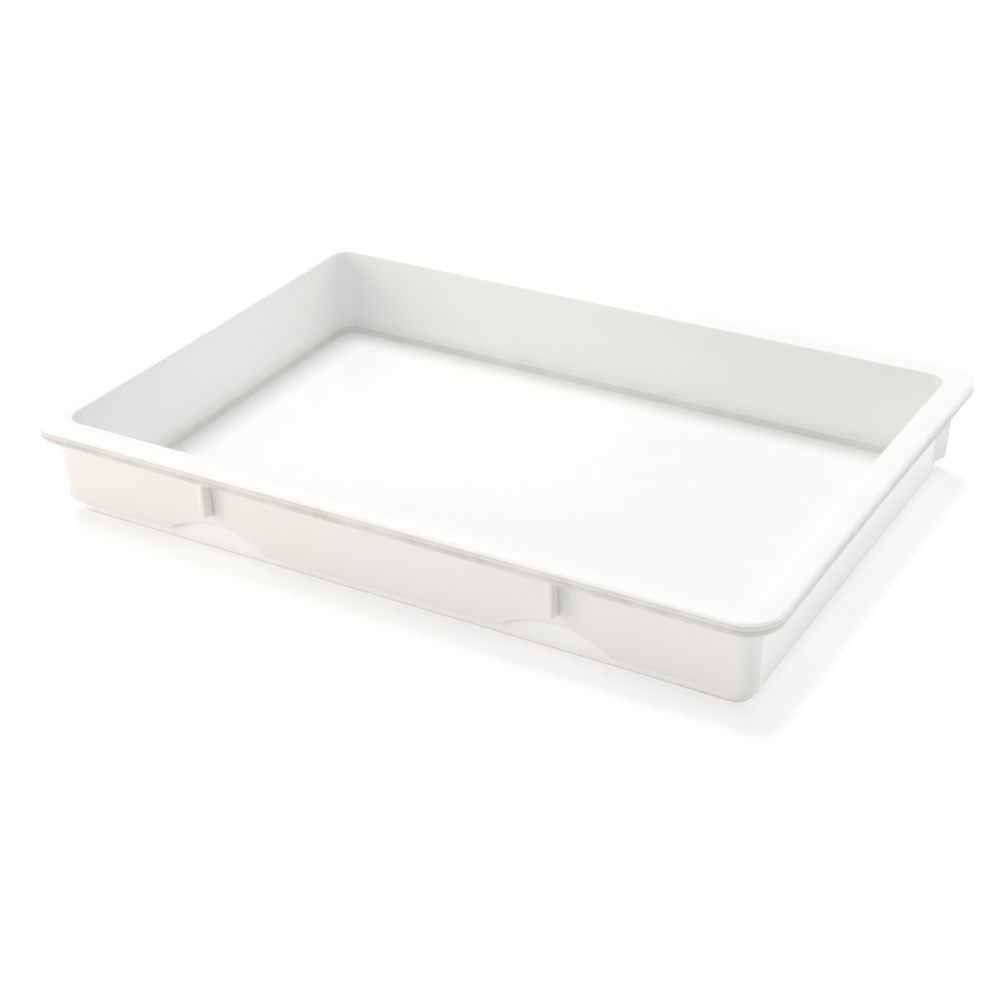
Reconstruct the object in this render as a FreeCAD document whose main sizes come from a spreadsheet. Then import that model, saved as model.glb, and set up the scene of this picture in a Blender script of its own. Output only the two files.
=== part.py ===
import FreeCAD, Part
import math
import os
import Sketcher

# A stackable open tray, moulded in one piece, modelled as the regions of the moulding.
# X runs along the length, the front faces -Y, Z is up, and the origin is at the middle of the base.

doc = FreeCAD.newDocument("DoughBox")
sheet = doc.addObject("Spreadsheet::Sheet", "Sizes")

# Independent sizes in millimetres and degrees
sizes = [
    ("overall_length", 660, "outside of the rim along X"),
    ("overall_width", 458, "outside of the rim along Y"),
    ("overall_height", 87, "ground to the top of the rim"),
    ("rim_width", 23, "outer edge of the rim to the mouth"),
    ("rim_corner_radius", 29, "corner radius of the rim's outer edge"),
    ("mouth_corner_radius", 16, "corner radius of the mouth"),
    ("rim_thickness", 4, "thickness of the flange"),
    ("rim_edge_round", 3, "round on the upper outer edge of the rim"),
    ("mouth_round", 3, "round on the inner edge of the mouth"),
    ("lip_height", 11, "height of the turned-down lip"),
    ("lip_thickness", 3.5, "thickness of the lip"),
    ("lip_round", 1.2, "round on the lower edge of the lip"),
    ("wall_thickness", 3, "thickness of the tray walls"),
    ("wall_lean", 4, "inward run of the walls from rim to floor"),
    ("floor_thickness", 3, "thickness of the floor"),
    ("floor_cove", 4.5, "cove between wall and floor"),
    ("base_round", 2.5, "round on the lower outer edge of the tray"),
    ("slot_width", 3.5, "slot between tray wall and apron under the rim"),
    ("apron_thickness", 2.5, "thickness of the apron"),
    ("apron_lean", 3.5, "inward run of the apron from rim to lower edge"),
    ("apron_ground_gap", 14, "ground to the lower edge of the apron"),
    ("apron_round", 1, "round on the lower edge of the apron"),
    ("web_sweep", 8, "angle of the web that closes the end of the apron"),
    ("web_play", 0.1, "play between a web and the wall corner"),
    ("rib_spacing", 313, "between the two ribs of a long side"),
    ("rib_width", 6.8, "width of a rib"),
    ("rib_ground_gap", 39, "ground to the root of a rib"),
    ("rib_rise", 3, "rise of the rib's lower edge from root to tip"),
    ("rib_round", 3, "round on the lower tip of a rib"),
    ("arch_spacing", 307, "between the middles of the two arches of a long side"),
    ("arch_width", 97, "width of an arched cut-out at the apron's lower edge"),
    ("arch_rise", 15.5, "height of an arched cut-out"),
    ("foot_height", 2, "height of a corner foot"),
    ("foot_length", 61, "side of a corner foot"),
    ("foot_round", 12, "corner radius of a foot"),
    ("foot_setback", 0.5, "foot edge to the edge of the flat underside"),
]

# Sizes that follow from the ones above. Distances are outward from the axis of a corner: the inner axis for
# walls, mouth and rim, the outer axis for the rim's outer corner, apron and ribs.
derived = [
    ("axis_inset", "=rim_width + mouth_corner_radius"),
    ("corner_step", "=axis_inset - rim_corner_radius"),
    ("axis_half_length", "=overall_length / 2 - axis_inset"),
    ("axis_half_width", "=overall_width / 2 - axis_inset"),
    ("outer_half_length", "=overall_length / 2 - rim_corner_radius"),
    ("outer_half_width", "=overall_width / 2 - rim_corner_radius"),
    ("flange_level", "=overall_height - rim_thickness"),
    ("lip_level", "=overall_height - lip_height"),
    ("lip_drop", "=lip_height - rim_thickness"),
    ("floor_level", "=foot_height + floor_thickness"),
    ("floor_corner_radius", "=mouth_corner_radius - wall_lean"),
    ("cove_used", "=min(floor_cove; 0.9 * floor_corner_radius)"),
    ("wall_slope", "=wall_lean / (flange_level - floor_level)"),
    ("wall_out", "=mouth_corner_radius + wall_thickness"),
    ("cove_top_out", "=floor_corner_radius + wall_slope * cove_used"),
    ("cove_top_level", "=floor_level + cove_used"),
    ("cove_low_out", "=floor_corner_radius - cove_used"),
    ("base_out", "=floor_corner_radius + wall_thickness - wall_slope * floor_thickness"),
    ("base_round_used", "=min(base_round; 0.9 * base_out)"),
    ("base_flat_out", "=base_out - base_round_used"),
    ("base_side_out", "=base_out + wall_slope * base_round_used"),
    ("base_side_level", "=foot_height + base_round_used"),
    ("lip_in", "=axis_inset - lip_thickness"),
    ("lip_flat_out", "=axis_inset - lip_round"),
    ("lip_side_level", "=lip_level + lip_round"),
    ("rim_side_level", "=overall_height - rim_edge_round"),
    ("rim_top_out", "=axis_inset - rim_edge_round"),
    ("mouth_top_out", "=mouth_corner_radius + mouth_round"),
    ("mouth_side_level", "=overall_height - mouth_round"),
    ("apron_in", "=rim_corner_radius - rim_width + wall_thickness + slot_width"),
    ("apron_out", "=apron_in + apron_thickness"),
    ("apron_slope", "=apron_lean / (flange_level - apron_ground_gap)"),
    ("apron_low_in", "=apron_in - apron_lean"),
    ("apron_low_out", "=apron_out - apron_lean"),
    ("apron_flat_out", "=apron_low_out - apron_round"),
    ("apron_side_out", "=apron_low_out + apron_slope * apron_round"),
    ("apron_side_level", "=apron_ground_gap + apron_round"),
    ("wall_out_at_apron", "=wall_out - wall_slope * (flange_level - apron_ground_gap)"),
    ("web_top_in", "=sqrt(max(wall_out ^ 2 - corner_step ^ 2; 1)) - corner_step + web_play"),
    ("web_low_in", "=sqrt(max(wall_out_at_apron ^ 2 - corner_step ^ 2; 1)) - corner_step + web_play"),
    ("rib_out", "=rim_corner_radius - lip_thickness"),
    ("rib_root_out", "=apron_low_out + apron_slope * (rib_ground_gap - apron_ground_gap)"),
    ("rib_tip_level", "=rib_ground_gap + rib_rise"),
    ("rib_side_level", "=rib_tip_level + rib_round"),
    ("rib_flat_out", "=rib_out - rib_round"),
    ("arch_radius", "=((arch_width / 2) ^ 2 + arch_rise ^ 2) / (2 * arch_rise)"),
    ("arch_depth", "=arch_radius - arch_rise - apron_ground_gap"),
    ("foot_inner_edge", "=foot_length - foot_round"),
    ("foot_out", "=base_flat_out - foot_setback"),
    ("straight_length", "=2 * axis_half_length"),
    ("straight_width", "=2 * axis_half_width"),
    ("apron_length", "=2 * outer_half_length"),
]

row = 1
for alias, value, note in sizes:
    sheet.set(f"A{row}", alias)
    sheet.set(f"B{row}", str(value))
    sheet.set(f"C{row}", note)
    sheet.setAlias(f"B{row}", alias)
    row += 1
for alias, formula in derived:
    sheet.set(f"A{row}", alias)
    sheet.set(f"B{row}", formula)
    sheet.setAlias(f"B{row}", alias)
    row += 1
doc.recompute()

pieces = []
sketch_points = ["origin", "start", "end", "centre"]


def cell(expression):
    """Value of an alias of the sheet, or of a plain number written as text."""
    try:
        return float(expression)
    except ValueError:
        return float(sheet.get(expression))


def bound(expression):
    """The same alias as an expression that other objects can hold."""
    try:
        float(expression)
        return expression
    except ValueError:
        return "Sizes." + expression


def new_body(label):
    body = doc.addObject("PartDesign::Body", label)
    body.Label = label
    pieces.append(body)
    return body


def new_sketch(body, name, role):
    sketch = body.newObject("Sketcher::SketchObject", name)
    for feature in body.Origin.OriginFeatures:
        if feature.Role == role:
            sketch.AttachmentSupport = [(feature, "")]
    sketch.MapMode = "FlatFace"
    return sketch


def pin(sketch, kind, geometry, point, expression):
    """Hold one coordinate of a point at a size of the sheet, or on an axis."""
    if expression == "0":
        axis = -2 if kind == "DistanceX" else -1
        sketch.addConstraint(Sketcher.Constraint("PointOnObject", geometry, point, axis))
        return
    value = cell(expression)
    index = sketch.addConstraint(Sketcher.Constraint(kind, -1, 1, geometry, point, value))
    sketch.setExpression(f"Constraints[{index}]", bound(expression))


def draw_loop(sketch, corners):
    """Closed outline. A corner is (x, y), or (x, y, centre x) where an arc leads on to the next corner."""
    count = len(corners)
    for number in range(count):
        here = corners[number]
        there = corners[(number + 1) % count]
        first = FreeCAD.Vector(cell(here[0]), cell(here[1]), 0)
        second = FreeCAD.Vector(cell(there[0]), cell(there[1]), 0)
        if len(here) == 2:
            sketch.addGeometry(Part.LineSegment(first, second), False)
            continue
        centre_x = cell(here[2])
        across = second - first
        middle = (first + second) * 0.5
        # the centre is where the bisector of the two ends crosses its known x
        centre_y = middle.y - (centre_x - middle.x) * across.x / across.y
        centre = FreeCAD.Vector(centre_x, centre_y, 0)
        radius = (first - centre).Length
        chord_side = (middle - centre).normalize()
        via = centre + chord_side * radius
        sketch.addGeometry(Part.Arc(first, via, second), False)
    # an arc may be stored the other way round, so its ends are found by place
    ends = []
    for number in range(count):
        here = corners[number]
        first = FreeCAD.Vector(cell(here[0]), cell(here[1]), 0)
        first_end, last_end = sketch_points.index("start"), sketch_points.index("end")
        if sketch.getPoint(number, first_end).isEqual(first, 1e-6):
            ends.append((first_end, last_end))
        else:
            ends.append((last_end, first_end))
    for number in range(count):
        following = (number + 1) % count
        joint = Sketcher.Constraint("Coincident", number, ends[number][1], following, ends[following][0])
        sketch.addConstraint(joint)
    for number in range(count):
        here = corners[number]
        pin(sketch, "DistanceX", number, ends[number][0], here[0])
        pin(sketch, "DistanceY", number, ends[number][0], here[1])
        if len(here) == 3:
            pin(sketch, "DistanceX", number, sketch_points.index("centre"), here[2])


def add_pad(body, sketch, length):
    pad = body.newObject("PartDesign::Pad", body.Name + "_length")
    pad.Profile = sketch
    pad.Midplane = True
    pad.Length = cell(length)
    pad.setExpression("Length", bound(length))
    return pad


def add_turn(body, sketch, name, angle, reverse=False):
    turn = body.newObject("PartDesign::Revolution", name)
    turn.Profile = sketch
    turn.ReferenceAxis = (sketch, ["V_Axis"])
    turn.Reversed = reverse
    turn.Angle = cell(angle)
    if bound(angle) != angle:
        turn.setExpression("Angle", bound(angle))
    return turn


def add_layer(body, sketch, name, level, thickness):
    """Pad of an outline seen from above, standing on a level."""
    sketch.AttachmentOffset = FreeCAD.Placement(FreeCAD.Vector(0, 0, cell(level)), FreeCAD.Rotation())
    sketch.setExpression("AttachmentOffset.Base.z", bound(level))
    pad = body.newObject("PartDesign::Pad", name)
    pad.Profile = sketch
    pad.Length = cell(thickness)
    pad.setExpression("Length", bound(thickness))
    return pad


def edges_on(shape, level, fits):
    """Names of the edges at a level that follow an outline seen from above."""
    names = []
    for number, edge in enumerate(shape.Edges, 1):
        low, high = edge.ParameterRange
        points = [edge.valueAt(low), edge.valueAt((low + high) / 2), edge.valueAt(high)]
        if all(math.isclose(point.z, level, abs_tol=1e-5) and fits(point) for point in points):
            names.append(f"Edge{number}")
    return names


def add_round(body, name, base, radius, level, fits):
    doc.recompute()
    fillet = body.newObject("PartDesign::Fillet", name)
    fillet.Base = (base, edges_on(base.Shape, cell(level), fits))
    fillet.Radius = cell(radius)
    fillet.setExpression("Radius", bound(radius))
    return fillet


def on_outside(point):
    """Whether a point of a rim corner is on the rim's outer edge."""
    step = cell("corner_step")
    if min(point.x, point.y) > step:
        reach = math.hypot(point.x - step, point.y - step)
        return math.isclose(reach, cell("rim_corner_radius"), abs_tol=1e-5)
    return math.isclose(max(point.x, point.y), cell("axis_inset"), abs_tol=1e-5)


def on_mouth(point):
    return math.isclose(math.hypot(point.x, point.y), cell("mouth_corner_radius"), abs_tol=1e-5)


def place(body, x_expression, y_expression, angle_expression):
    """Stand a piece on its axis, turned about Z."""
    body.Placement = FreeCAD.Placement(FreeCAD.Vector(0, 0, 0), FreeCAD.Rotation(FreeCAD.Vector(0, 0, 1), 45))
    body.setExpression("Placement.Base.x", x_expression)
    body.setExpression("Placement.Base.y", y_expression)
    body.setExpression("Placement.Rotation.Angle", angle_expression)


# Sections, drawn with x outward from a corner's axis and y upward
wall_section = [
    ("wall_out", "flange_level"),
    ("mouth_corner_radius", "flange_level"),
    ("cove_top_out", "cove_top_level", "cove_low_out"),
    ("cove_low_out", "floor_level"),
    ("0", "floor_level"),
    ("0", "foot_height"),
    ("base_flat_out", "foot_height", "base_flat_out"),
    ("base_side_out", "base_side_level"),
]
rim_section = [
    ("lip_in", "flange_level"),
    ("lip_in", "lip_level"),
    ("lip_flat_out", "lip_level", "lip_flat_out"),
    ("axis_inset", "lip_side_level"),
    ("axis_inset", "rim_side_level", "rim_top_out"),
    ("rim_top_out", "overall_height"),
    ("mouth_top_out", "overall_height", "mouth_top_out"),
    ("mouth_corner_radius", "mouth_side_level"),
    ("mouth_corner_radius", "flange_level"),
]
apron_section = [
    ("apron_out", "flange_level"),
    ("apron_in", "flange_level"),
    ("apron_low_in", "apron_ground_gap"),
    ("apron_flat_out", "apron_ground_gap", "apron_flat_out"),
    ("apron_side_out", "apron_side_level"),
]
web_section = [
    ("apron_in", "flange_level"),
    ("web_top_in", "flange_level"),
    ("web_low_in", "apron_ground_gap"),
    ("apron_low_in", "apron_ground_gap"),
]
rib_section = [
    ("apron_out", "flange_level"),
    ("rib_root_out", "rib_ground_gap"),
    ("rib_flat_out", "rib_tip_level", "rib_flat_out"),
    ("rib_out", "rib_side_level"),
    ("rib_out", "flange_level"),
]

# Outlines of a rim corner, seen from above with the inner axis at the origin
flange_outline = [
    ("mouth_corner_radius", "0"),
    ("axis_inset", "0"),
    ("axis_inset", "corner_step", "corner_step"),
    ("corner_step", "axis_inset"),
    ("0", "axis_inset"),
    ("0", "mouth_corner_radius", "0"),
]
lip_outline = [
    ("lip_in", "0"),
    ("axis_inset", "0"),
    ("axis_inset", "corner_step", "corner_step"),
    ("corner_step", "axis_inset"),
    ("0", "axis_inset"),
    ("0", "lip_in"),
    ("corner_step", "lip_in", "corner_step"),
    ("lip_in", "corner_step"),
]

# Where each side and corner stands: name, x, y, turn about Z
sides = [
    ("right", "Sizes.axis_half_length", "0", "0", "straight_width"),
    ("rear", "0", "Sizes.axis_half_width", "90", "straight_length"),
    ("left", "-Sizes.axis_half_length", "0", "180", "straight_width"),
    ("front", "0", "-Sizes.axis_half_width", "270", "straight_length"),
]
corners = [
    ("rear_right", "Sizes.axis_half_length", "Sizes.axis_half_width", "0"),
    ("rear_left", "-Sizes.axis_half_length", "Sizes.axis_half_width", "90"),
    ("front_left", "-Sizes.axis_half_length", "-Sizes.axis_half_width", "180"),
    ("front_right", "Sizes.axis_half_length", "-Sizes.axis_half_width", "270"),
]

long_sides = [
    ("front", "-Sizes.outer_half_width", "270"),
    ("rear", "Sizes.outer_half_width", "90"),
]

# Floor panel between the four inner axes
floor_panel = doc.addObject("Part::Box", "floor_panel")
floor_panel.Label = "floor_panel"
floor_panel.setExpression("Length", "Sizes.straight_length")
floor_panel.setExpression("Width", "Sizes.straight_width")
floor_panel.setExpression("Height", "Sizes.floor_thickness")
floor_panel.setExpression("Placement.Base.x", "-Sizes.axis_half_length")
floor_panel.setExpression("Placement.Base.y", "-Sizes.axis_half_width")
floor_panel.setExpression("Placement.Base.z", "Sizes.foot_height")
pieces.append(floor_panel)

# Tray walls and rim, straight lengths first
for name, x, y, turn, length in sides:
    for kind, section in (("wall", wall_section), ("rim", rim_section)):
        body = new_body(f"{kind}_{name}")
        sketch = new_sketch(body, f"{kind}_{name}_section", "XZ_Plane")
        draw_loop(sketch, section)
        add_pad(body, sketch, length)
        place(body, x, y, turn)
for name, x, y, turn in corners:
    body = new_body(f"wall_corner_{name}")
    sketch = new_sketch(body, f"wall_corner_{name}_section", "XZ_Plane")
    draw_loop(sketch, wall_section)
    add_turn(body, sketch, f"wall_corner_{name}_turn", "90")
    place(body, x, y, turn)

    body = new_body(f"rim_corner_{name}")
    flange = new_sketch(body, f"rim_corner_{name}_flange", "XY_Plane")
    draw_loop(flange, flange_outline)
    add_layer(body, flange, f"rim_corner_{name}_top", "flange_level", "rim_thickness")
    lip = new_sketch(body, f"rim_corner_{name}_lip", "XY_Plane")
    draw_loop(lip, lip_outline)
    solid = add_layer(body, lip, f"rim_corner_{name}_skirt", "lip_level", "lip_drop")
    solid = add_round(body, f"rim_corner_{name}_edge", solid, "rim_edge_round", "overall_height", on_outside)
    solid = add_round(body, f"rim_corner_{name}_mouth", solid, "mouth_round", "overall_height", on_mouth)
    solid = add_round(body, f"rim_corner_{name}_low", solid, "lip_round", "lip_level", on_outside)
    place(body, x, y, turn)

# Aprons of the long sides, each with two arched cut-outs
for name, y, turn in long_sides:
    body = new_body(f"apron_{name}")
    sketch = new_sketch(body, f"apron_{name}_section", "XZ_Plane")
    draw_loop(sketch, apron_section)
    add_pad(body, sketch, "apron_length")
    arches = new_sketch(body, f"apron_{name}_arches", "YZ_Plane")
    middle_point = sketch_points.index("centre")
    for side in (-1, 1):
        middle = FreeCAD.Vector(side * cell("arch_spacing") / 2, -cell("arch_depth"), 0)
        circle = arches.addGeometry(Part.Circle(middle, FreeCAD.Vector(0, 0, 1), cell("arch_radius")), False)
        first, second = (circle, -1) if side < 0 else (-1, circle)
        ends = (middle_point, 1) if side < 0 else (1, middle_point)
        across = arches.addConstraint(
            Sketcher.Constraint("DistanceX", first, ends[0], second, ends[1], cell("arch_spacing") / 2)
        )
        arches.setExpression(f"Constraints[{across}]", "Sizes.arch_spacing / 2")
        below = arches.addConstraint(
            Sketcher.Constraint("DistanceY", circle, middle_point, -1, 1, cell("arch_depth"))
        )
        arches.setExpression(f"Constraints[{below}]", "Sizes.arch_depth")
        size = arches.addConstraint(Sketcher.Constraint("Radius", circle, cell("arch_radius")))
        arches.setExpression(f"Constraints[{size}]", "Sizes.arch_radius")
    doc.recompute()
    whole = body.Shape.Volume
    cut = body.newObject("PartDesign::Pocket", f"apron_{name}_cut")
    cut.Profile = arches
    cut.Type = "ThroughAll"
    cut.Midplane = True
    doc.recompute()
    print(body.Label, "cut from", round(whole), "to", round(body.Shape.Volume), "mm3")
    place(body, "0", y, turn)

# Aprons round the corners, each from its closing web near the end wall to the long side
corner_turns = {
    "rear_right": ("Sizes.outer_half_length", "Sizes.outer_half_width", "0", False),
    "rear_left": ("-Sizes.outer_half_length", "Sizes.outer_half_width", "180", True),
    "front_left": ("-Sizes.outer_half_length", "-Sizes.outer_half_width", "180", False),
    "front_right": ("Sizes.outer_half_length", "-Sizes.outer_half_width", "0", True),
}
for name, (x, y, turn, reverse) in corner_turns.items():
    body = new_body(f"apron_corner_{name}")
    sketch = new_sketch(body, f"apron_corner_{name}_section", "XZ_Plane")
    draw_loop(sketch, apron_section)
    add_turn(body, sketch, f"apron_corner_{name}_turn", "90", reverse)
    web = new_sketch(body, f"apron_corner_{name}_web", "XZ_Plane")
    draw_loop(web, web_section)
    add_turn(body, web, f"apron_corner_{name}_web_turn", "web_sweep", reverse)
    place(body, x, y, turn)

# Ribs under the rim of the long sides
for name, y, turn in long_sides:
    for end, sign in (("left", "-"), ("right", "")):
        body = new_body(f"rib_{name}_{end}")
        sketch = new_sketch(body, f"rib_{name}_{end}_section", "XZ_Plane")
        draw_loop(sketch, rib_section)
        add_pad(body, sketch, "rib_width")
        place(body, f"{sign}Sizes.rib_spacing / 2", y, turn)

# Corner feet
foot_outline = [
    ("foot_round", "0"),
    ("foot_inner_edge", "0", "foot_inner_edge"),
    ("foot_length", "foot_round"),
    ("foot_length", "foot_inner_edge", "foot_inner_edge"),
    ("foot_inner_edge", "foot_length"),
    ("foot_round", "foot_length", "foot_round"),
    ("0", "foot_inner_edge"),
    ("0", "foot_round", "foot_round"),
]
for name, x, y, turn in corners:
    body = new_body(f"foot_{name}")
    sketch = new_sketch(body, f"foot_{name}_outline", "XY_Plane")
    draw_loop(sketch, foot_outline)
    pad = body.newObject("PartDesign::Pad", f"foot_{name}_height")
    pad.Profile = sketch
    pad.Length = cell("foot_height")
    pad.setExpression("Length", "Sizes.foot_height")
    near = "Sizes.foot_out - Sizes.foot_length"
    far = "-Sizes.foot_out"
    body.setExpression("Placement.Base.x", f"{x} + {near if 'right' in name else far}")
    body.setExpression("Placement.Base.y", f"{y} + {near if 'rear' in name else far}")

doc.recompute()

for item in doc.Objects:
    if "Invalid" in item.State or "Error" in item.State:
        raise RuntimeError(f"{item.Label} did not build: {item.State}")
for piece in pieces:
    shape = piece.Shape
    if shape.isNull() or not shape.isValid() or len(shape.Solids) != 1:
        raise RuntimeError(f"{piece.Label} is not one valid solid")

os.makedirs("parts", exist_ok=True)
for piece in pieces:
    piece.Shape.exportStep(f"parts/{piece.Label}.step")
    box = piece.Shape.BoundBox
    print(
        f"{piece.Label:26s} x {box.XMin:8.2f} {box.XMax:8.2f}  y {box.YMin:8.2f} {box.YMax:8.2f}"
        f"  z {box.ZMin:6.2f} {box.ZMax:6.2f}  {piece.Shape.Volume / 1000:8.1f} cm3"
    )
print("pieces", len(pieces))
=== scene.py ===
import bmesh
import bpy
import math
from mathutils import Matrix, Vector


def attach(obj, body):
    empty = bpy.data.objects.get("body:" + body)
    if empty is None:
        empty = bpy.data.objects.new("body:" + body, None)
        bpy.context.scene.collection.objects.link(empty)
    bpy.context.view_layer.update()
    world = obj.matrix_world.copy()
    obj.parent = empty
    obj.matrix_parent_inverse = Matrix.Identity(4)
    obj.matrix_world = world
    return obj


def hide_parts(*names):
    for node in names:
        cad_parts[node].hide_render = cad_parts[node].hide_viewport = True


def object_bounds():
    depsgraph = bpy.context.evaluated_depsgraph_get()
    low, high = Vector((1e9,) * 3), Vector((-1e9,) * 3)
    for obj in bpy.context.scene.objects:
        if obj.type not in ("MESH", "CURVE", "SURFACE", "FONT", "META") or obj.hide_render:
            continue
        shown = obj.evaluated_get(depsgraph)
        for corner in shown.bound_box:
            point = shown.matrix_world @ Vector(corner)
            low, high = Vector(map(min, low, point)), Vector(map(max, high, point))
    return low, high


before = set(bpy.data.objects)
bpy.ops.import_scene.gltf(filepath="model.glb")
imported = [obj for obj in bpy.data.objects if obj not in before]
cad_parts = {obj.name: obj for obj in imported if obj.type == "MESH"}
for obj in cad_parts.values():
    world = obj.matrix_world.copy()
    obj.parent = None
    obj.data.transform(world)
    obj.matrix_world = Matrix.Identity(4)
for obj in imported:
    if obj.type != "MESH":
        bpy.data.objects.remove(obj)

cadBox = [list(corner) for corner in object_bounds()]
halfLength, halfWidth, topLevel = cadBox[1]
mm = 0.001
quarter = math.pi / 2
scene = bpy.context.scene
scene.view_settings.view_transform = "Standard"
print("frame loaded, half length", round(halfLength, 4), "half width", round(halfWidth, 4))


# small helpers for node trees
def addNode(tree, kind, **settings):
    node = tree.nodes.new(kind)
    for name, value in settings.items():
        setattr(node, name, value)
    return node


def feed(tree, socket, value):
    if isinstance(value, bpy.types.NodeSocket):
        tree.links.new(value, socket)
    else:
        socket.default_value = value


def live(sockets, name):
    return next(socket for socket in sockets if socket.name == name and socket.enabled)


def calc(tree, operation, *values):
    node = addNode(tree, "ShaderNodeMath", operation=operation)
    for socket, value in zip(node.inputs, values):
        feed(tree, socket, value)
    return node.outputs[0]


def blendValues(tree, first, second, share):
    return calc(tree, "MULTIPLY_ADD", calc(tree, "SUBTRACT", second, first), share, first)


def smoothStep(tree, value, low, high):
    node = addNode(tree, "ShaderNodeMapRange", interpolation_type="SMOOTHSTEP")
    feed(tree, node.inputs[0], value)
    node.inputs[1].default_value = low
    node.inputs[2].default_value = high
    return node.outputs[0]


# plastic: one skin group, placed in each material with its own values
skinLook = {
    "turn": 0.4,                                                       # patterns lie aslant to the sides
    "flow": (5.0, 3.0), "flowRange": (0.3, 0.7), "flowShare": 0.6,     # slow drift of the melt: scale, detail
    "longScuff": (38.0, 5.0, (1, 9, 5)), "longRange": (0.63, 0.72),    # fine rubs: scale, detail, stretch
    "wideScuff": (30.0, 5.0, (8, 1, 6)), "wideRange": (0.65, 0.74), "scuffRoughness": 0.25,
    "patch": (45.0, 3.0), "paleRange": (0.35, 0.65), "shadeRange": (0.25, 0.75), "shadeGap": 0.35,
    "gloss": (14.0, 4.0), "grain": (1400.0, 2.0), "ripple": (9.0, 1.0), "rippleShare": 2.0,
    "grainDepth": 0.0002, "refraction": 1.49, "colourReach": (1.0, 0.97, 0.9),
}
toneNames = ("Tone", "Shade Tone", "Rubbed And Lit Tone", "Painted Shade Tone")
amountNames = ("Scuffs", "Gloss Spread", "Base Roughness")


def makeSkinGroup():
    tree = bpy.data.node_groups.new("mouldedSkin", "ShaderNodeTree")
    sockets = tree.interface
    sockets.new_socket("Place", in_out="INPUT", socket_type="NodeSocketVector")
    for name in toneNames:
        sockets.new_socket(name, in_out="INPUT", socket_type="NodeSocketColor")
    for name in ("Wear And Painted Light", *amountNames):
        sockets.new_socket(name, in_out="INPUT", socket_type="NodeSocketFloat")
    sockets.new_socket("Color", in_out="OUTPUT", socket_type="NodeSocketColor")
    sockets.new_socket("Roughness", in_out="OUTPUT", socket_type="NodeSocketFloat")
    sockets.new_socket("Height", in_out="OUTPUT", socket_type="NodeSocketFloat")
    entry = addNode(tree, "NodeGroupInput").outputs
    exitNode = addNode(tree, "NodeGroupOutput")

    def do(operation, *values):
        return calc(tree, operation, *values)

    def cloud(scale, detail, stretch=(1, 1, 1)):
        turn = addNode(tree, "ShaderNodeMapping")
        turn.inputs["Scale"].default_value = stretch
        turn.inputs["Rotation"].default_value = (0.0, 0.0, skinLook["turn"])
        tree.links.new(entry["Place"], turn.inputs["Vector"])
        noise = addNode(tree, "ShaderNodeTexNoise")
        noise.inputs["Scale"].default_value = scale
        noise.inputs["Detail"].default_value = detail
        tree.links.new(turn.outputs[0], noise.inputs["Vector"])
        return noise.outputs[0]

    def mixColours(share, first, second):
        node = addNode(tree, "ShaderNodeMix", data_type="RGBA")
        feed(tree, node.inputs[0], share)
        feed(tree, node.inputs[6], first)
        feed(tree, node.inputs[7], second)
        return node.outputs[2]

    flow = smoothStep(tree, cloud(*skinLook["flow"]), *skinLook["flowRange"])
    longScuff = smoothStep(tree, cloud(*skinLook["longScuff"]), *skinLook["longRange"])
    wideScuff = smoothStep(tree, cloud(*skinLook["wideScuff"]), *skinLook["wideRange"])
    scuffs = do("MULTIPLY", do("MAXIMUM", longScuff, wideScuff), entry["Scuffs"])

    # wear above 0 mixes to the pale tone, rubbed wear on the feet and painted highlights on the tray; below 0
    # to the dark tone, painted shade; both in patches
    patches = cloud(*skinLook["patch"])
    paler = do("MAXIMUM", entry["Wear And Painted Light"], 0.0)
    greyer = do("MAXIMUM", do("MULTIPLY", entry["Wear And Painted Light"], -1.0), 0.0)
    rubbedAndLit = do("MULTIPLY", paler, smoothStep(tree, patches, *skinLook["paleRange"]))
    shadePatches = smoothStep(tree, patches, *skinLook["shadeRange"])
    paintedShade = do("MULTIPLY", greyer, do("MULTIPLY_ADD", shadePatches, -skinLook["shadeGap"], 1.0))
    tone = mixColours(do("MULTIPLY", flow, skinLook["flowShare"]), entry["Tone"], entry["Shade Tone"])
    tone = mixColours(scuffs, tone, entry["Shade Tone"])
    tone = mixColours(rubbedAndLit, tone, entry["Rubbed And Lit Tone"])
    tone = mixColours(paintedShade, tone, entry["Painted Shade Tone"])

    spread = do("MULTIPLY", do("SUBTRACT", cloud(*skinLook["gloss"]), 0.5), entry["Gloss Spread"])
    rough = do("ADD", entry["Base Roughness"], spread)
    rough = do("ADD", rough, do("MULTIPLY", scuffs, skinLook["scuffRoughness"]))
    grain = cloud(*skinLook["grain"])
    height = do("MULTIPLY_ADD", cloud(*skinLook["ripple"]), skinLook["rippleShare"], grain)
    tree.links.new(tone, exitNode.inputs["Color"])
    tree.links.new(rough, exitNode.inputs["Roughness"])
    tree.links.new(height, exitNode.inputs["Height"])
    return tree


skinGroup = makeSkinGroup()


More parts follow.
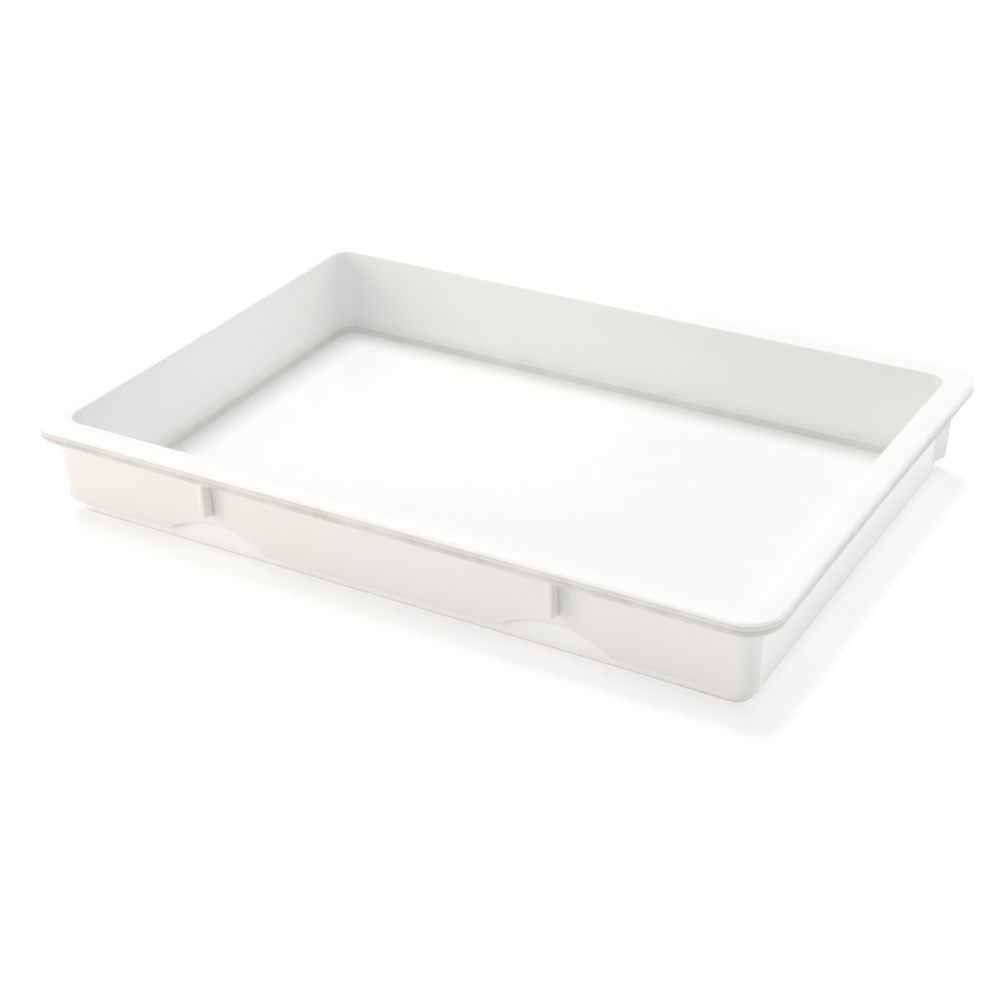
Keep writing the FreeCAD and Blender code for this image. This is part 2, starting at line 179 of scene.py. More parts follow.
def makePlastic(name, look):
    material = bpy.data.materials.new(name)
    material.use_nodes = True
    tree = material.node_tree
    shader = tree.nodes["Principled BSDF"]
    place = addNode(tree, "ShaderNodeTexCoord")
    wearAndPaintedLight = addNode(tree, "ShaderNodeAttribute", attribute_name="wearAndPaintedLight")
    skin = addNode(tree, "ShaderNodeGroup", node_tree=skinGroup)
    tree.links.new(place.outputs["Object"], skin.inputs["Place"])
    tree.links.new(wearAndPaintedLight.outputs["Fac"], skin.inputs["Wear And Painted Light"])
    for socket in toneNames:
        skin.inputs[socket].default_value = (*look[socket], 1)
    for socket in amountNames:
        skin.inputs[socket].default_value = look[socket]
    bump = addNode(tree, "ShaderNodeBump")
    bump.inputs["Strength"].default_value = look["Grain"]
    bump.inputs["Distance"].default_value = skinLook["grainDepth"]
    tree.links.new(skin.outputs["Height"], bump.inputs["Height"])
    tree.links.new(skin.outputs["Color"], shader.inputs["Base Color"])
    tree.links.new(skin.outputs["Roughness"], shader.inputs["Roughness"])
    tree.links.new(bump.outputs["Normal"], shader.inputs["Normal"])
    shader.inputs["IOR"].default_value = skinLook["refraction"]
    shader.inputs["Subsurface Weight"].default_value = look["Milkiness"]
    shader.inputs["Subsurface Radius"].default_value = skinLook["colourReach"]
    shader.inputs["Subsurface Scale"].default_value = look["Light Reach"]
    return material


# the tray's darkest tone is for painted shade on the floor's cove, the lip and the base; its palest tone for
# painted highlights on the mouth edge and low on the outside
trayPlastic = makePlastic("trayPlastic", {
    "Tone": (0.932, 0.933, 0.927), "Shade Tone": (0.918, 0.919, 0.91),
    "Rubbed And Lit Tone": (0.952, 0.953, 0.946), "Painted Shade Tone": (0.53, 0.521, 0.493),
    "Scuffs": 0.25, "Gloss Spread": 0.16, "Base Roughness": 0.42, "Grain": 0.25,
    "Milkiness": 0.2, "Light Reach": 0.004,
})
# the aprons and ribs are the same plastic in a darker tone: painted shade
skirtPlasticShaded = makePlastic("skirtPlasticShaded", {
    "Tone": (0.835, 0.827, 0.805), "Shade Tone": (0.815, 0.806, 0.782),
    "Rubbed And Lit Tone": (0.87, 0.866, 0.852), "Painted Shade Tone": (0.6, 0.59, 0.565),
    "Scuffs": 0.35, "Gloss Spread": 0.16, "Base Roughness": 0.45, "Grain": 0.3,
    "Milkiness": 0.2, "Light Reach": 0.004,
})
footPlastic = makePlastic("footPlastic", {
    "Tone": (0.88, 0.878, 0.862), "Shade Tone": (0.845, 0.842, 0.822),
    "Rubbed And Lit Tone": (0.9, 0.898, 0.886), "Painted Shade Tone": (0.66, 0.65, 0.622),
    "Scuffs": 0.7, "Gloss Spread": 0.2, "Base Roughness": 0.55, "Grain": 0.4,
    "Milkiness": 0.2, "Light Reach": 0.004,
})
print("plastics ready")


# both trees start with named sizes and end in real geometry with its material
def startTree(name, sizes):
    tree = bpy.data.node_groups.new(name, "GeometryNodeTree")
    tree.interface.new_socket("Geometry", in_out="INPUT", socket_type="NodeSocketGeometry")
    for label, kind in sizes:
        tree.interface.new_socket(label, in_out="INPUT", socket_type="NodeSocket" + kind)
    tree.interface.new_socket("Geometry", in_out="OUTPUT", socket_type="NodeSocketGeometry")
    return tree, addNode(tree, "NodeGroupInput").outputs


def endTree(tree, geometry, material):
    realize = addNode(tree, "GeometryNodeRealizeInstances")
    tree.links.new(geometry, realize.inputs[0])
    paint = addNode(tree, "GeometryNodeSetMaterial")
    tree.links.new(realize.outputs[0], paint.inputs["Geometry"])
    tree.links.new(material, paint.inputs["Material"])
    tree.links.new(paint.outputs[0], addNode(tree, "NodeGroupOutput").inputs[0])
    return tree


# a section carried round the four corners of a rectangle
sweepSizes = [
    ("Section Count", "Int"), ("Station Count", "Int"), ("Half Length", "Float"), ("Half Width", "Float"),
    ("Height", "Float"), ("End Bow", "Float"), ("Arch Spacing", "Float"), ("Arch Width", "Float"),
    ("Arch Rise", "Float"), ("Lower Level", "Float"), ("Turn", "Float"), ("Material", "Material"),
]
sweep = {"bowRange": (0.8, 0.93), "leastRise": 0.001, "archFrom": 0.0005, "joinDistance": 0.00001}  # metres


def makeSweepTree():
    tree, size = startTree("cornerSweep", sweepSizes)

    def do(operation, *values):
        return calc(tree, operation, *values)

    # the grid's columns are section points and its rows are stations of the path
    index = addNode(tree, "GeometryNodeInputIndex").outputs[0]
    sectionIndex = do("FLOOR", do("DIVIDE", index, size["Station Count"]))
    stationIndex = do("ADD", do("MODULO", index, size["Station Count"]), size["Section Count"])

    def look(name, where):
        value = addNode(tree, "GeometryNodeInputNamedAttribute", data_type="FLOAT")
        value.inputs["Name"].default_value = name
        sample = addNode(tree, "GeometryNodeSampleIndex", data_type="FLOAT", domain="POINT")
        tree.links.new(size["Geometry"], sample.inputs["Geometry"])
        tree.links.new(live(value.outputs, "Attribute"), live(sample.inputs, "Value"))
        tree.links.new(where, sample.inputs["Index"])
        return live(sample.outputs, "Value")

    plainInset = look("inset", sectionIndex)
    inset = blendValues(tree, plainInset, look("webInset", sectionIndex), look("web", stationIndex))
    inset = blendValues(tree, inset, look("capInset", sectionIndex), look("cap", stationIndex))
    radius = do("ADD", look("radius", sectionIndex), do("SUBTRACT", plainInset, inset))
    level = look("level", sectionIndex)
    corner = look("corner", stationIndex)
    along = look("along", stationIndex)
    turn = look("turn", stationIndex)

    def axisOf(number, half, wave):
        side = do("SIGN", do(wave, do("MULTIPLY", do("ADD", number, 0.5), quarter)))
        return do("MULTIPLY", side, do("SUBTRACT", do("SUBTRACT", half, inset), radius))

    def between(half, wave):
        following = do("ADD", corner, 1.0)
        straight = blendValues(tree, axisOf(corner, half, wave), axisOf(following, half, wave), along)
        return do("MULTIPLY_ADD", radius, do(wave, turn), straight)

    x = between(size["Half Length"], "COSINE")
    y = between(size["Half Width"], "SINE")

    # the ends draw in a little halfway along, most at the top
    reach = smoothStep(tree, do("DIVIDE", do("ABSOLUTE", x), size["Half Length"]), *sweep["bowRange"])
    middle = do("SUBTRACT", 1.0, do("POWER", do("DIVIDE", y, size["Half Width"]), 2.0))
    pull = do("MULTIPLY", do("MULTIPLY", middle, reach), do("DIVIDE", level, size["Height"]))
    x = do("SUBTRACT", x, do("MULTIPLY", do("SIGN", x), do("MULTIPLY", pull, size["End Bow"])))

    # the lower edge rises in two arches, less and less towards the top
    half = do("MULTIPLY", size["Arch Width"], 0.5)
    rise = do("MAXIMUM", size["Arch Rise"], sweep["leastRise"])
    arc = do("DIVIDE", do("ADD", do("POWER", half, 2.0), do("POWER", rise, 2.0)), do("MULTIPLY", rise, 2.0))
    offset = do("SUBTRACT", do("ABSOLUTE", x), do("MULTIPLY", size["Arch Spacing"], 0.5))
    inArch = do("LESS_THAN", do("ABSOLUTE", offset), half)
    crown = do("SQRT", do("MAXIMUM", do("SUBTRACT", do("POWER", arc, 2.0), do("POWER", offset, 2.0)), 0.0))
    lift = do("MAXIMUM", do("ADD", do("SUBTRACT", crown, arc), rise), 0.0)
    arched = do("GREATER_THAN", size["Arch Rise"], sweep["archFrom"])
    lift = do("MULTIPLY", do("MULTIPLY", lift, inArch), arched)
    depth = do("SUBTRACT", size["Height"], size["Lower Level"])
    z = do("MULTIPLY_ADD", lift, do("DIVIDE", do("SUBTRACT", size["Height"], level), depth), level)

    grid = addNode(tree, "GeometryNodeMeshGrid")
    tree.links.new(size["Section Count"], grid.inputs["Vertices X"])
    tree.links.new(size["Station Count"], grid.inputs["Vertices Y"])
    spot = addNode(tree, "ShaderNodeCombineXYZ")
    for socket, value in zip(spot.inputs, (x, y, z)):
        tree.links.new(value, socket)
    shape = addNode(tree, "GeometryNodeSetPosition")
    tree.links.new(grid.outputs["Mesh"], shape.inputs["Geometry"])
    tree.links.new(spot.outputs[0], shape.inputs["Position"])
    keep = addNode(tree, "GeometryNodeStoreNamedAttribute", data_type="FLOAT", domain="POINT")
    keep.inputs["Name"].default_value = "wearAndPaintedLight"
    tree.links.new(shape.outputs[0], keep.inputs["Geometry"])
    tree.links.new(look("wearAndPaintedLight", sectionIndex), live(keep.inputs, "Value"))
    close = addNode(tree, "GeometryNodeMergeByDistance")
    close.inputs["Distance"].default_value = sweep["joinDistance"]
    tree.links.new(keep.outputs[0], close.inputs["Geometry"])
    swing = addNode(tree, "GeometryNodeTransform")
    aim = addNode(tree, "ShaderNodeCombineXYZ")
    tree.links.new(size["Turn"], aim.inputs["Z"])
    tree.links.new(close.outputs[0], swing.inputs["Geometry"])
    tree.links.new(aim.outputs[0], swing.inputs["Rotation"])
    return endTree(tree, swing.outputs[0], size["Material"])


sweepTree = makeSweepTree()
meshCare = {"specks": 0.000004, "sharpAngle": 32.0}


def settle(piece, tree, values):
    # runs the tree on the piece and keeps the outcome as a plain closed mesh
    modifier = piece.modifiers.new("shape", "NODES")
    modifier.node_group = tree
    for item in tree.interface.items_tree:
        if item.in_out == "INPUT" and item.name in values:
            modifier[item.identifier] = values[item.name]
    graph = bpy.context.evaluated_depsgraph_get()
    shaped = piece.evaluated_get(graph)
    mesh = bpy.data.meshes.new_from_object(shaped, preserve_all_data_layers=True, depsgraph=graph)
    piece.modifiers.clear()
    source = piece.data
    piece.data = mesh
    mesh.name = piece.name
    bpy.data.meshes.remove(source)
    form = bmesh.new()
    form.from_mesh(mesh)
    bmesh.ops.dissolve_degenerate(form, dist=meshCare["specks"], edges=form.edges)
    bmesh.ops.holes_fill(form, edges=[edge for edge in form.edges if edge.is_boundary], sides=0)
    bmesh.ops.recalc_face_normals(form, faces=form.faces)
    if form.calc_volume(signed=True) < 0:
        bmesh.ops.reverse_faces(form, faces=form.faces)
    openEdges = sum(1 for edge in form.edges if not edge.is_manifold)
    form.to_mesh(mesh)
    form.free()
    mesh.shade_smooth()
    mesh.set_sharp_from_angle(angle=math.radians(meshCare["sharpAngle"]))
    print(piece.name, len(mesh.polygons), "faces,", openEdges, "open edges")
    return piece


def addObject(name, data):
    thing = bpy.data.objects.new(name, data)
    scene.collection.objects.link(thing)
    return thing


bends = {"guardShare": 0.35, "guardMost": 0.6, "stepAngle": 11, "leastSteps": 3}


def roundedLine(corners):
    # corners are (inset, level, round, tone mark) in millimetres; the tone mark is wear and painted light and
    # shade
    # each round becomes a tangent arc between two guard points, which keep the flats flat
    points = []

    def shared(toneMark, other):
        return min(toneMark, other, key=abs) if toneMark * other > 0 else 0.0

    for number, (inset, level, bend, toneMark) in enumerate(corners):
        here = Vector((inset, level))
        if bend == 0:
            points.append((inset, level, toneMark))
            continue
        back = (Vector(corners[number - 1][:2]) - here).normalized()
        ahead = (Vector(corners[number + 1][:2]) - here).normalized()
        angle = back.angle(ahead)
        run = bend / math.tan(angle / 2)
        centre = here + (back + ahead).normalized() * (bend / math.sin(angle / 2))
        first, last = here + back * run, here + ahead * run
        guard = min(bends["guardShare"] * bend, bends["guardMost"])
        points.append((*(first + back * guard), shared(toneMark, corners[number - 1][3])))
        steps = max(bends["leastSteps"], round(math.degrees(math.pi - angle) / bends["stepAngle"]))
        start, end = first - centre, last - centre
        total = start.angle_signed(end)
        for step in range(steps + 1):
            arm = Matrix.Rotation(-total * step / steps, 2) @ start
            points.append((*(centre + arm), toneMark))
        points.append((*(last + ahead * guard), shared(toneMark, corners[number + 1][3])))
    return points


sectionColumns = ("inset", "radius", "level", "capInset", "webInset", "wearAndPaintedLight")
stationColumns = ("corner", "along", "turn", "web", "cap")


def makeSwept(name, section, stations, values):
    # the section's rows, in millimetres, come before the stations' rows
    mesh = bpy.data.meshes.new(name)
    mesh.from_pydata([(0, 0, 0)] * (len(section) + len(stations)), [], [])
    for column, label in enumerate(sectionColumns):
        layer = mesh.attributes.new(label, "FLOAT", "POINT")
        scale = 1 if label == "wearAndPaintedLight" else mm
        for row, item in enumerate(section):
            layer.data[row].value = item[column] * scale
    for column, label in enumerate(stationColumns):
        layer = mesh.attributes.new(label, "FLOAT", "POINT")
        for row, item in enumerate(stations):
            layer.data[len(section) + row].value = item[column]
    sizes = {
        "Section Count": len(section), "Station Count": len(stations),
        "Half Length": halfLength, "Half Width": halfWidth, "Height": topLevel,
    }
    return settle(addObject(name, mesh), sweepTree, {**sizes, **values})


# tray: floor, walls and rim in one skin, in millimetres; a pair is a step from the named inset, and a level
tray = {
    "floorLevel": 5.0, "underLevel": 2.0, "floorInset": 27.0, "floorCove": 4.5, "floorTurn": 0.5,
    "floorRows": (140, 80, 48), "floorEdge": 38, "underRows": (46, 80, 140),
    "baseInset": 24.15, "baseRound": 2.5, "basePale": (0.41, 10.0), "outerMiddle": (2.1, 42.0),
    "wallFoot": (0.45, 13.0), "wallClear": (0.9, 21.0), "wallMiddle": (1.4, 55.0), "wallInset": 20.0,
    "mouthInset": 23.0, "mouthRound": 1.6, "mouthCorner": 16.0, "bandWidth": 4.6, "bandDrop": 0.14,
    "bandSlope": 0.35, "flangeLevel": 83.0, "flangeRound": 1.5, "topLevel": 87.0, "rimMiddle": 14.0,
    "crownInset": 9.0, "crownRound": 30.0, "edgeLevel": 86.3, "edgeRound": 1.8, "bandLevel": 84.0,
    "bandFoot": 1.5, "grooveTop": 80.1, "grooveLow": 79.0, "grooveDepth": 0.5, "grooveSlope": 0.35,
    "trimRound": 0.2, "rollInset": 0.25, "rollRound": 2.2, "lipLevel": 74.5, "lipInner": 3.8,
    "outerCorner": 29.0, "innerCorner": 39.0, "innerFrom": 18.0, "slack": 0.01,
    "cornerSteps": 20, "sideSteps": 15, "endBow": 1.9,
    # painted shade darkens the floor, its cove and the wall foot, the rim's edge, the lip with its groove and
    # roll, and the base's foot; painted highlights pale the mouth edge, the rim band and a band on the
    # outside just under the aprons
    "wearAndPaintedLight": {  # above 0 painted pale, below 0 painted shade
        "floor": -0.06, "floorEdge": -0.12, "cove": -0.46, "wallFoot": -0.14, "mouth": 0.8, "band": 0.1,
        "edge": -0.1, "lip": -0.7, "lipMiddle": -0.62, "groove": -0.85, "roll": -0.9,
        "basePale": 1.0, "base": -0.5},
}


def cornerRadius(inset, inside):
    # the rim's outside turns about one axis and the mouth about another, with an even change between
    outerTo, innerFrom = tray["lipInner"], tray["innerFrom"]
    if inside:
        return max(tray["mouthCorner"] - tray["floorTurn"] * max(inset - tray["floorInset"], 0.0), 0.0)
    if inset <= outerTo:
        return tray["outerCorner"] - inset
    if inset >= innerFrom:
        return max(tray["innerCorner"] - inset, 0.0)
    share = (inset - outerTo) / (innerFrom - outerTo)
    return (tray["outerCorner"] - outerTo) * (1 - share) + (tray["innerCorner"] - innerFrom) * share


def traySection():
    # from the floor's middle up the inner wall, over the rim, down the outside and under to the middle
    wearAndPaintedLight = tray["wearAndPaintedLight"]
    floor, under, top = tray["floorLevel"], tray["underLevel"], tray["topLevel"]
    floorInset, mouth, flange = tray["floorInset"], tray["mouthInset"], tray["flangeLevel"]
    wallInset, baseInset = tray["wallInset"], tray["baseInset"]
    lip, lipInner = tray["lipLevel"], tray["lipInner"]
    grooveTop, grooveLow, depth = tray["grooveTop"], tray["grooveLow"], tray["grooveDepth"]
    slope, trim, roll = tray["grooveSlope"], tray["trimRound"], tray["rollInset"]
    band, bandEnd = top - tray["bandDrop"], mouth - tray["bandWidth"]
    centre = halfWidth / mm
    corners = [(inset, floor, 0, wearAndPaintedLight["floor"]) for inset in (centre, *tray["floorRows"])]
    corners += [
        (tray["floorEdge"], floor, 0, wearAndPaintedLight["floorEdge"]),
        (floorInset, floor, tray["floorCove"], wearAndPaintedLight["cove"]),
        (floorInset - tray["wallFoot"][0], tray["wallFoot"][1], 0, wearAndPaintedLight["wallFoot"]),
        (floorInset - tray["wallClear"][0], tray["wallClear"][1], 0, 0),
        (mouth + tray["wallMiddle"][0], tray["wallMiddle"][1], 0, 0),
        (mouth, flange, 0, 0),
        (mouth, band, tray["mouthRound"], wearAndPaintedLight["mouth"]),
        (bandEnd + tray["bandSlope"], band, 0, wearAndPaintedLight["band"]),
        (bandEnd, top, 0, wearAndPaintedLight["band"]),
        (tray["rimMiddle"], top, 0, 0),
        (tray["crownInset"], top, tray["crownRound"], 0),
        (0.0, tray["edgeLevel"], tray["edgeRound"], wearAndPaintedLight["edge"]),
        (0.0, tray["bandLevel"], 0, wearAndPaintedLight["lip"]),
        (0.0, grooveTop + tray["bandFoot"], 0, wearAndPaintedLight["lipMiddle"]),
        (0.0, grooveTop, trim, wearAndPaintedLight["lip"]),
        (depth, grooveTop - slope, 0, wearAndPaintedLight["groove"]),
        (depth, grooveLow + slope, 0, wearAndPaintedLight["roll"]),
        (roll, grooveLow, trim, wearAndPaintedLight["groove"]),
        (roll, lip, tray["rollRound"], wearAndPaintedLight["roll"]),
        (lipInner, lip, trim, 0),
        (lipInner, flange, tray["flangeRound"], 0),
        (wallInset, flange, tray["flangeRound"], 0),
        (wallInset + tray["outerMiddle"][0], tray["outerMiddle"][1], 0, 0),
        (baseInset - tray["basePale"][0], tray["basePale"][1], 0, wearAndPaintedLight["basePale"]),
        (baseInset, under, tray["baseRound"], wearAndPaintedLight["base"]),
    ]
    corners += [(inset, under, 0, 0) for inset in (*tray["underRows"], centre)]
    rows = []
    inside = True
    for inset, level, toneMark in roundedLine(corners):
        inside = inside and inset >= mouth - tray["slack"]
        rows.append((inset, cornerRadius(inset, inside), level, inset, inset, toneMark))
    return rows


def loopStations(cornerSteps, sideSteps):
    rows = []
    for corner in range(4):
        for step in range(cornerSteps + 1):
            rows.append((corner, 0, (corner + step / cornerSteps) * quarter, 0, 0))
        for step in range(1, sideSteps + 1):
            rows.append((corner, step / (sideSteps + 1), (corner + 1) * quarter, 0, 0))
    rows.append((4, 0, 2 * math.pi, 0, 0))
    return rows


trayStations = loopStations(tray["cornerSteps"], tray["sideSteps"])
trayShell = makeSwept("trayShell", traySection(), trayStations, {
    "End Bow": tray["endBow"] * mm, "Arch Rise": 0.0, "Material": trayPlastic,
})
print("tray made")


# aprons of the two long sides, wrapped round the corners and closed against the wall, in millimetres
apron = {
    "topLevel": 83.2, "flangeLevel": 83.0, "middleLevels": (60, 37), "lowerLevel": 14.0, "topInset": 14.0,
    # the apron's lower edge rounds are greyed as painted shade
    "lean": 3.5, "thickness": 2.5, "outerRound": 0.7, "innerRound": 0.5, "outerEdgeShade": -0.6, "innerEdgeShade": -0.3,
    "webTop": 22.75, "webLow": 27.1, "webAngle": 8.0, "webStep": 1.02, "cornerSteps": 16,
    "endRun": 17.0, "endBury": 1.3, "endThickness": 1.2, "plainPlaces": (270, 235, 70, 35),
    "archSpacing": 307.0, "archWidth": 97.0, "archRise": 15.5, "archSteps": 28, "archMargin": 0.3,
}


def apronSection():
    top, low, flange = apron["topLevel"], apron["lowerLevel"], apron["flangeLevel"]
    depth = flange - low

    def outerAt(level):
        return apron["topInset"] + apron["lean"] * (flange - level) / depth

    def innerAt(level):
        return outerAt(level) + apron["thickness"]

    levels = (top, *apron["middleLevels"])
    corners = [(outerAt(level), level, 0, 0) for level in levels]
    corners.append((outerAt(low), low, apron["outerRound"], apron["outerEdgeShade"]))
    corners.append((innerAt(low), low, apron["innerRound"], apron["innerEdgeShade"]))
    corners += [(innerAt(level), level, 0, 0) for level in levels[::-1]]
    corners.append(corners[0])
    wallRun = (tray["baseInset"] - tray["wallInset"]) * depth / (top - tray["underLevel"])
    rows = []
    for inset, level, toneMark in roundedLine(corners):
        middle = (outerAt(level) + innerAt(level)) / 2
        down = (flange - level) / depth
        web = inset if inset < middle else apron["webTop"] + (apron["webLow"] - apron["webTop"]) * down
        across = (inset - outerAt(level)) / apron["thickness"]
        buried = tray["wallInset"] + wallRun * down + apron["endBury"] + apron["endThickness"] * across
        rows.append((inset, tray["outerCorner"] - inset, level, buried, web, toneMark))
    return rows


def apronStations():
    webTurn = math.radians(apron["webAngle"])
    endShare = apron["endRun"] / (2 * (halfWidth / mm - tray["outerCorner"]))
    rows = [
        (-1, 1 - endShare, 0, 1, 1), (0, 0, 0, 1, 0), (0, 0, webTurn, 1, 0),
        (0, 0, webTurn * apron["webStep"], 0, 0),
    ]
    for step in range(1, apron["cornerSteps"] + 1):
        rows.append((0, 0, webTurn + (quarter - webTurn) * step / apron["cornerSteps"], 0, 0))
    straight = 2 * (halfLength / mm - tray["outerCorner"])
    half, archSteps, margin = apron["archWidth"] / 2, apron["archSteps"], apron["archMargin"]
    places = [0]
    for side in (1, -1):
        middle = side * apron["archSpacing"] / 2
        places += [middle + half * (1 - 2 * step / archSteps) for step in range(archSteps + 1)]
        places += [middle + half + margin, middle - half - margin]
        places += [side * place for place in apron["plainPlaces"]]
    for place in sorted(places, reverse=True):
        rows.append((0, (straight / 2 - place) / straight, quarter, 0, 0))
    mirrored = [(1, 0, math.pi - turn, web, cap) for corner, along, turn, web, cap in rows if along == 0]
    return rows + mirrored[::-1] + [(1, endShare, math.pi, 1, 1)]


aprons = {}
for side, turn in (("Front", math.pi), ("Rear", 0.0)):
    aprons[side] = makeSwept("apron" + side, apronSection(), apronStations(), {
        "End Bow": 0.0, "Arch Spacing": apron["archSpacing"] * mm, "Arch Width": apron["archWidth"] * mm,
        "Arch Rise": apron["archRise"] * mm, "Lower Level": apron["lowerLevel"] * mm,
        "Turn": turn, "Material": skirtPlasticShaded,
    })
print("aprons made")


# pieces that stand at four mirrored places: ribs under the rim, feet under the corners
fourSizes = [("Spacing X", "Float"), ("Spacing Y", "Float"), ("Material", "Material")]


def makeFourTree():
    tree, size = startTree("fourPlaces", fourSizes)
    grid = addNode(tree, "GeometryNodeMeshGrid")
    for axis in "XY":
        tree.links.new(size["Spacing " + axis], grid.inputs["Size " + axis])
        grid.inputs["Vertices " + axis].default_value = 2
    apart = addNode(tree, "ShaderNodeSeparateXYZ")
    tree.links.new(addNode(tree, "GeometryNodeInputPosition").outputs[0], apart.inputs[0])
    rear = calc(tree, "GREATER_THAN", apart.outputs["Y"], 0.0)
    aim = addNode(tree, "ShaderNodeCombineXYZ")
    tree.links.new(calc(tree, "MULTIPLY", rear, math.pi), aim.inputs["Z"])
    copies = addNode(tree, "GeometryNodeInstanceOnPoints")
    tree.links.new(grid.outputs["Mesh"], copies.inputs["Points"])
    tree.links.new(size["Geometry"], copies.inputs["Instance"])
    tree.links.new(aim.outputs[0], copies.inputs["Rotation"])
    return endTree(tree, copies.outputs[0], size["Material"])


fourTree = makeFourTree()
slab = {"bevelFrom": 0.6, "bevelSteps": 3}  # edges turning more than this, in radians, are rounded


def slabMesh(name, outline, thickness, direction, bevel, toneMark):
    # a flat outline given its thickness along one direction, with rounded edges
    form = bmesh.new()
    face = form.faces.new([form.verts.new(point) for point in outline])
    raised = bmesh.ops.extrude_face_region(form, geom=[face])["geom"]
    raised = [item for item in raised if isinstance(item, bmesh.types.BMVert)]
    bmesh.ops.translate(form, vec=Vector(direction) * thickness, verts=raised)
    bmesh.ops.recalc_face_normals(form, faces=form.faces)
    sharp = [edge for edge in form.edges if edge.calc_face_angle(0) > slab["bevelFrom"]]
    bmesh.ops.bevel(
        form, geom=sharp, offset=bevel, segments=slab["bevelSteps"], profile=0.5, affect="EDGES")
    mesh = bpy.data.meshes.new(name)
    form.to_mesh(mesh)
    form.free()
    layer = mesh.attributes.new("wearAndPaintedLight", "FLOAT", "POINT")
    for item in layer.data:
        item.value = toneMark
    return mesh


def standAtFour(name, outline, thickness, direction, values, spacingX, spacingY, material):
    mesh = slabMesh(name, outline, thickness * mm, direction, values["edgeRound"] * mm, values["wearAndPaintedLight"])
    sizes = {"Spacing X": spacingX, "Spacing Y": spacingY, "Material": material}
    return settle(addObject(name, mesh), fourTree, sizes)


rib = {
    "spacing": 313.0, "width": 6.3, "tipInset": 4.4, "tipLevel": 42.0, "tipRound": 3.0, "rootInset": 16.6,
    "rootLevel": 39.0, "headInset": 15.0, "topLevel": 83.2, "edgeRound": 1.5, "seatInset": 20, "wearAndPaintedLight": 0.0,
}
ribCorners = [
    (rib["headInset"], rib["topLevel"], 0, 0), (rib["rootInset"], rib["rootLevel"], 0, 0),
    (rib["tipInset"], rib["tipLevel"], rib["tipRound"], 0), (rib["tipInset"], rib["topLevel"], 0, 0),
]
ribOutline = [
    (-rib["width"] / 2 * mm, (inset - rib["seatInset"]) * mm, level * mm)
    for inset, level, toneMark in roundedLine(ribCorners)
]
gussetRibs = standAtFour(
    "gussetRibs", ribOutline, rib["width"], (1, 0, 0), rib,
    rib["spacing"] * mm, 2 * (halfWidth - rib["seatInset"] * mm), skirtPlasticShaded)

foot = {
    "side": 61.0, "edgeInset": 27.15, "height": 2.0, "sunk": 0.3, "cornerRound": 12.0, "cornerSteps": 10,
    "edgeRound": 0.6, "wearAndPaintedLight": 0.6,
}


def footOutline():
    points = []
    reach, bend, steps = foot["side"] / 2 - foot["cornerRound"], foot["cornerRound"], foot["cornerSteps"]
    for corner in range(4):
        middle = (corner + 0.5) * quarter
        x = math.copysign(reach, math.cos(middle))
        y = math.copysign(reach, math.sin(middle))
        for step in range(steps + 1):
            angle = (corner + step / steps) * quarter
            points.append(((x + bend * math.cos(angle)) * mm, (y + bend * math.sin(angle)) * mm, 0))
    return points


footReach = (foot["edgeInset"] + foot["side"] / 2) * mm
cornerFeet = standAtFour(
    "cornerFeet", footOutline(), foot["height"] + foot["sunk"], (0, 0, 1), foot,
    2 * (halfLength - footReach), 2 * (halfWidth - footReach), footPlastic)
print("ribs and feet made")


# what each piece stands for
nodeNames = list(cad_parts)
standsFor = {
    trayShell: [name for name in nodeNames if name.startswith(("floor_", "wall_", "rim_"))],
    aprons["Front"]: [name for name in nodeNames if name.startswith("apron_") and "front" in name],
    aprons["Rear"]: [name for name in nodeNames if name.startswith("apron_") and "rear" in name],
    gussetRibs: [name for name in nodeNames if name.startswith("rib_")],
    cornerFeet: [name for name in nodeNames if name.startswith("foot_")],
}
for piece, names in standsFor.items():
    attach(piece, "root")
    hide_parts(*names)
    print(piece.name, "stands for", len(names), "nodes")


# studio: pale lit sweep, even dome, high key from just behind the left, a soft box on each side
# and a soft spot for the far inner corner
studio = {
    "floorReach": 6, "floorTone": (0.9, 0.9, 0.9), "floorRoughness": 0.9, "floorShine": 0.1,
    "floorGlow": 0.24, "floorLift": 0.08, "domeStrength": 0.5, "domeSeen": 1.0,
    "keyStrength": 1.41, "keySpread": 26.0, "keyFrom": (-0.26, 0.22, 1.0),
    "boxes": {
        "leftBox": {
            "place": (-1.2, -1.5, 0.7), "aim": (0.0, 0.0, 0.05), "size": 1.0, "power": 9.2,
            "tint": (1.0, 0.92, 0.81)},
        "rightBox": {
            "place": (2.05, 1.2, 0.87), "aim": (0.0, 0.0, 0.05), "size": 1.2, "power": 7.4,
            "tint": (1.0, 0.98, 0.93)},
    },
    "spot": {
        "place": (0.3, -0.2, 0.62), "aim": (-0.27, 0.18, 0.045), "size": 0.12, "power": 2.1,
        "tint": (1.0, 1.0, 0.94), "cone": 48.0, "fade": 1.0},
}


def seenDirectly(tree):
    # 1 for what the eye, a reflection or clear plastic shows, 0 for light that spreads
    path = addNode(tree, "ShaderNodeLightPath")
    mirrored = calc(tree, "MAXIMUM", path.outputs["Is Glossy Ray"], path.outputs["Is Transmission Ray"])
    return calc(tree, "MAXIMUM", path.outputs["Is Camera Ray"], mirrored)


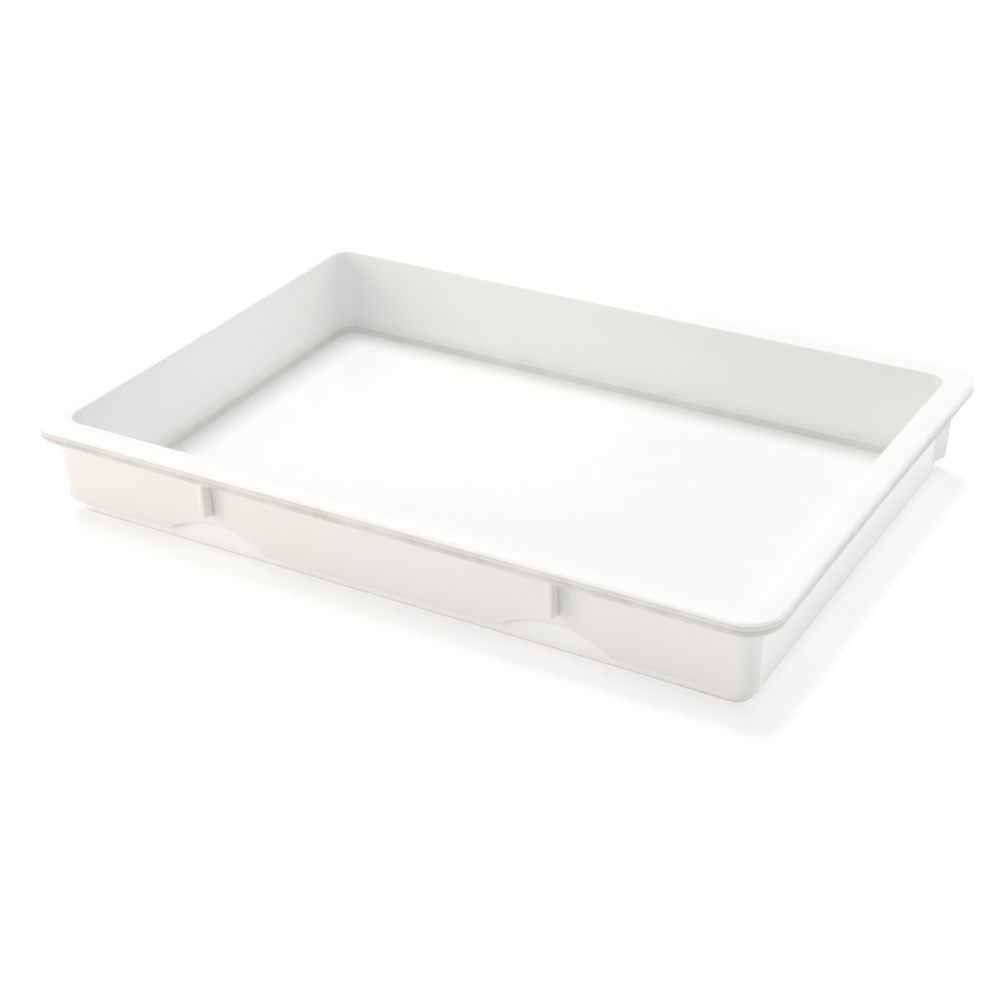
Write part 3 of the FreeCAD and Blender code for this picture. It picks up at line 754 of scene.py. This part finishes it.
floorMesh = bpy.data.meshes.new("studioFloor")
floorEdge = studio["floorReach"]
floorCorners = [(x * floorEdge, y * floorEdge, 0) for x, y in ((-1, -1), (1, -1), (1, 1), (-1, 1))]
floorMesh.from_pydata(floorCorners, [], [(0, 1, 2, 3)])
studioFloor = addObject("studioFloor", floorMesh)
floorPaint = bpy.data.materials.new("floorPaint")
floorPaint.use_nodes = True
floorTree = floorPaint.node_tree
floorShader = floorTree.nodes["Principled BSDF"]
floorShader.inputs["Base Color"].default_value = (*studio["floorTone"], 1)
floorShader.inputs["Roughness"].default_value = studio["floorRoughness"]
floorShader.inputs["Specular IOR Level"].default_value = studio["floorShine"]
floorShader.inputs["Emission Color"].default_value = (1, 1, 1, 1)
glow = calc(floorTree, "MULTIPLY_ADD", seenDirectly(floorTree), studio["floorLift"], studio["floorGlow"])
floorTree.links.new(glow, floorShader.inputs["Emission Strength"])
floorMesh.materials.append(floorPaint)

world = bpy.data.worlds.new("studioDome")
scene.world = world
world.use_nodes = True
domeTree = world.node_tree
dome = domeTree.nodes["Background"]
dome.inputs["Color"].default_value = (1, 1, 1, 1)
domeLight = blendValues(domeTree, studio["domeStrength"], studio["domeSeen"], seenDirectly(domeTree))
domeTree.links.new(domeLight, dome.inputs["Strength"])

keyLamp = bpy.data.lights.new("keyLamp", "SUN")
keyLamp.energy = studio["keyStrength"]
keyLamp.angle = math.radians(studio["keySpread"])
key = addObject("keyLamp", keyLamp)
key.rotation_euler = Vector(studio["keyFrom"]).to_track_quat("Z", "Y").to_euler()


def hangLamp(name, kind, values):
    lamp = bpy.data.lights.new(name, kind)
    lamp.energy = values["power"]
    lamp.color = values["tint"]
    holder = addObject(name, lamp)
    holder.location = values["place"]
    facing = Vector(values["place"]) - Vector(values["aim"])
    holder.rotation_euler = facing.to_track_quat("Z", "Y").to_euler()
    return lamp


for name, box in studio["boxes"].items():
    hangLamp(name, "AREA", box).size = box["size"]
cornerSpot = hangLamp("cornerSpot", "SPOT", studio["spot"])
cornerSpot.shadow_soft_size = studio["spot"]["size"]
cornerSpot.spot_size = math.radians(studio["spot"]["cone"])
cornerSpot.spot_blend = studio["spot"]["fade"]
print("studio lit")


# camera at the photograph's angle, for a square frame; the focal length is in frame widths
view = {
    "focal": 2.02718, "yaw": 0.52878, "pitch": 0.51023, "roll": -0.01933,
    "place": (0.75458, -1.31368, 0.83708), "sensor": 36.0, "farthest": 50.0,
}
camera = bpy.data.cameras.new("camera")
camera.sensor_fit = "HORIZONTAL"
camera.sensor_width = view["sensor"]
camera.lens = view["focal"] * view["sensor"]
camera.clip_end = view["farthest"]
eye = addObject("camera", camera)
stance = Matrix.Translation(view["place"])
for angle, axis in ((view["yaw"], "Z"), (quarter - view["pitch"], "X"), (view["roll"], "Z")):
    stance = stance @ Matrix.Rotation(angle, 4, axis)
eye.matrix_world = stance
scene.camera = eye

bpy.context.view_layer.update()
